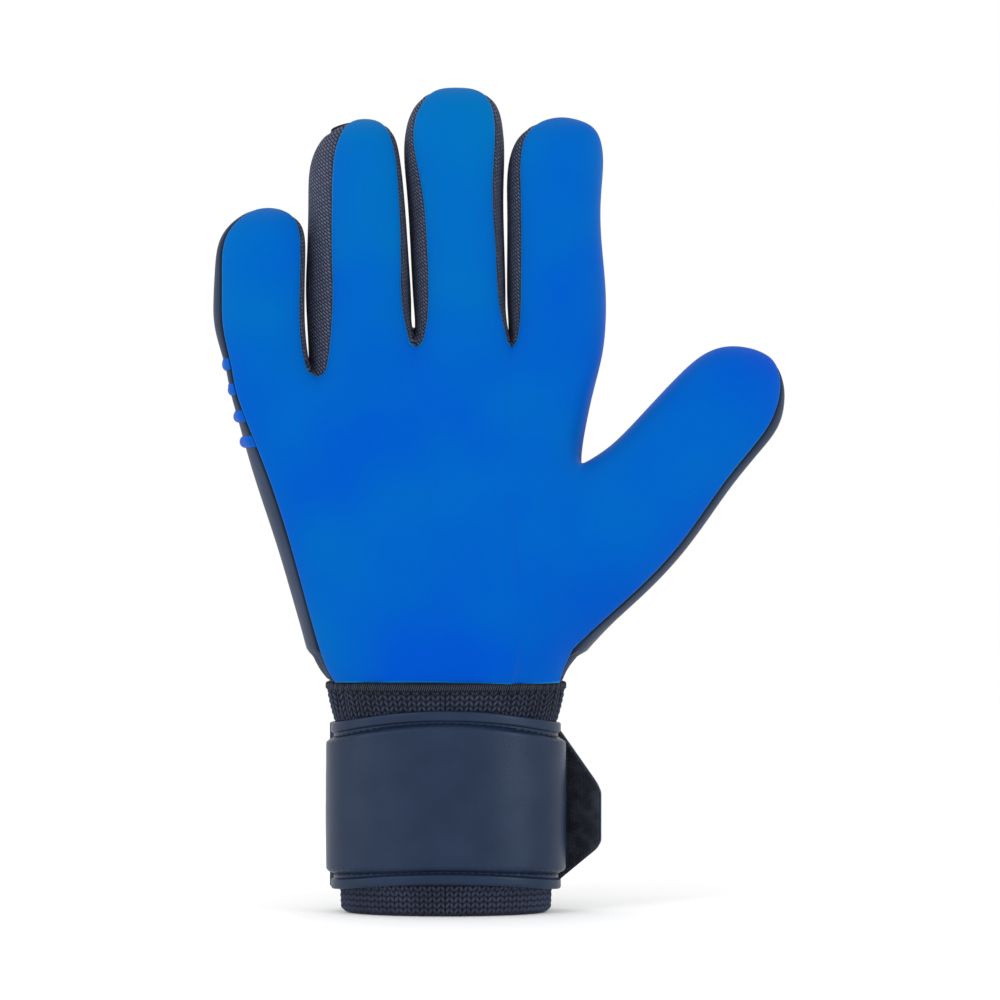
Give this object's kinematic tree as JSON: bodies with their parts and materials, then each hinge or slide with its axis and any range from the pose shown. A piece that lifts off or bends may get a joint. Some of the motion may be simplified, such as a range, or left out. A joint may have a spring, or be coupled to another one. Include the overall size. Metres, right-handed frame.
{
  "type": "goalkeeper's glove",
  "caption": "Padded right-hand goalkeeper's glove with a foam latex palm, bending fingers, an elastic cuff and a wrap-round strap.",
  "frame": {"origin": "middle of the wrist opening, in the plane of the cuff's rim", "axes": "+Z from the wrist to the fingertips, -Y the way the palm faces, +X the thumb's side"},
  "size_m": [0.1899, 0.0528, 0.2743],
  "materials": {
    "latex_blue": "matt foam latex",
    "smooth_navy": "smooth coated cloth",
    "mesh_navy": "open knitted mesh",
    "knit_navy": "ribbed elastic knit",
    "binding_navy": "binding tape",
    "loop_navy": "brushed loop pile",
    "hook_black": "hook tape",
    "lining_grey": "soft lining",
    "foam_grey": "foam"
  },
  "bodies": {
    "cuff": {"bandage_sleeve": "knit_navy", "strap_backing": "smooth_navy", "strap_foam": "foam_grey", "strap_cover": "smooth_navy", "loop_patch": "loop_navy"},
    "flap": {"strap_flap": "smooth_navy", "hook_patch": "hook_black"},
    "hand": {"backhand_panel": "smooth_navy", "bandage_stretch": "knit_navy", "hand_lining": "lining_grey", "knuckle_rib_1": "latex_blue", "knuckle_rib_2": "latex_blue", "knuckle_rib_3": "latex_blue", "knuckle_rib_4": "latex_blue", "little_side_panel": "smooth_navy", "palm_latex": "latex_blue", "web_gusset_little_ring": "mesh_navy", "web_gusset_middle_index": "mesh_navy", "web_gusset_ring_middle": "mesh_navy", "wrist_hem": "binding_navy"},
    "little_base": {"little_base_back": "smooth_navy", "little_base_gusset_by_ring": "mesh_navy", "little_base_latex": "latex_blue"},
    "little_tip": {"little_tip_back": "smooth_navy", "little_tip_gusset_by_ring": "mesh_navy", "little_tip_latex": "latex_blue"},
    "ring_base": {"ring_base_back": "smooth_navy", "ring_base_gusset_by_little": "mesh_navy", "ring_base_gusset_by_middle": "mesh_navy", "ring_base_latex": "latex_blue"},
    "ring_tip": {"ring_tip_back": "smooth_navy", "ring_tip_gusset_by_little": "mesh_navy", "ring_tip_gusset_by_middle": "mesh_navy", "ring_tip_latex": "latex_blue"},
    "middle_base": {"middle_base_back": "smooth_navy", "middle_base_gusset_by_index": "mesh_navy", "middle_base_gusset_by_ring": "mesh_navy", "middle_base_latex": "latex_blue"},
    "middle_tip": {"middle_tip_back": "smooth_navy", "middle_tip_gusset_by_index": "mesh_navy", "middle_tip_gusset_by_ring": "mesh_navy", "middle_tip_latex": "latex_blue"},
    "index_base": {"index_base_back": "smooth_navy", "index_base_gusset_by_middle": "mesh_navy", "index_base_latex": "latex_blue"},
    "index_tip": {"index_tip_back": "smooth_navy", "index_tip_gusset_by_middle": "mesh_navy", "index_tip_latex": "latex_blue"},
    "thumb_base": {"thumb_base_back": "smooth_navy", "thumb_base_latex": "latex_blue"},
    "thumb_tip": {"thumb_tip_back": "smooth_navy", "thumb_tip_latex": "latex_blue"}
  },
  "joints": [
    {"name": "wrist_bend", "type": "hinge", "parent": "cuff", "child": "hand", "pos_m": [0, 0, 0.0731], "axis": [1, 0, 0], "range_deg": [-12, 12], "stiffness_Nm_per_rad": 0.4, "deforming": ["bandage_stretch"]},
    {"name": "strap_flap_open", "type": "hinge", "parent": "cuff", "child": "flap", "pos_m": [-0.04048, 0.00469, 0.0353], "axis": [0, 0, 1], "range_deg": [0, 140]},
    {"name": "little_knuckle_bend", "type": "hinge", "parent": "hand", "child": "little_base", "pos_m": [-0.0615, -0.006, 0.191], "axis": [1, 0, 0], "range_deg": [0, 65], "stiffness_Nm_per_rad": 0.02},
    {"name": "little_middle_bend", "type": "hinge", "parent": "little_base", "child": "little_tip", "pos_m": [-0.0615, -0.006, 0.211], "axis": [1, 0, 0], "range_deg": [0, 72], "stiffness_Nm_per_rad": 0.02},
    {"name": "ring_knuckle_bend", "type": "hinge", "parent": "hand", "child": "ring_base", "pos_m": [-0.0289, -0.006, 0.198], "axis": [1, 0, 0], "range_deg": [0, 65], "stiffness_Nm_per_rad": 0.02},
    {"name": "ring_middle_bend", "type": "hinge", "parent": "ring_base", "child": "ring_tip", "pos_m": [-0.0289, -0.006, 0.229], "axis": [1, 0, 0], "range_deg": [0, 72], "stiffness_Nm_per_rad": 0.02},
    {"name": "middle_knuckle_bend", "type": "hinge", "parent": "hand", "child": "middle_base", "pos_m": [0.0046, -0.006, 0.1985], "axis": [1, 0, 0], "range_deg": [0, 65], "stiffness_Nm_per_rad": 0.02},
    {"name": "middle_middle_bend", "type": "hinge", "parent": "middle_base", "child": "middle_tip", "pos_m": [0.0046, -0.006, 0.234], "axis": [1, 0, 0], "range_deg": [0, 72], "stiffness_Nm_per_rad": 0.02},
    {"name": "index_knuckle_bend", "type": "hinge", "parent": "hand", "child": "index_base", "pos_m": [0.03655, -0.006, 0.1975], "axis": [1, 0, 0], "range_deg": [0, 65], "stiffness_Nm_per_rad": 0.02},
    {"name": "index_middle_bend", "type": "hinge", "parent": "index_base", "child": "index_tip", "pos_m": [0.03655, -0.006, 0.229], "axis": [1, 0, 0], "range_deg": [0, 72], "stiffness_Nm_per_rad": 0.02},
    {"name": "thumb_knuckle_bend", "type": "hinge", "parent": "hand", "child": "thumb_base", "pos_m": [0.0693, -0.006, 0.14425], "axis": [0.7071, 0, -0.7071], "range_deg": [0, 45], "stiffness_Nm_per_rad": 0.02},
    {"name": "thumb_middle_bend", "type": "hinge", "parent": "thumb_base", "child": "thumb_tip", "pos_m": [0.08839, -0.006, 0.16334], "axis": [0.7071, 0, -0.7071], "range_deg": [0, 50], "stiffness_Nm_per_rad": 0.02}
  ],
  "couplings": [
    {"joint": "little_middle_bend", "follows": "little_knuckle_bend", "ratio": 1.1077},
    {"joint": "ring_middle_bend", "follows": "ring_knuckle_bend", "ratio": 1.1077},
    {"joint": "middle_middle_bend", "follows": "middle_knuckle_bend", "ratio": 1.1077},
    {"joint": "index_middle_bend", "follows": "index_knuckle_bend", "ratio": 1.1077},
    {"joint": "thumb_middle_bend", "follows": "thumb_knuckle_bend", "ratio": 1.1111}
  ]
}
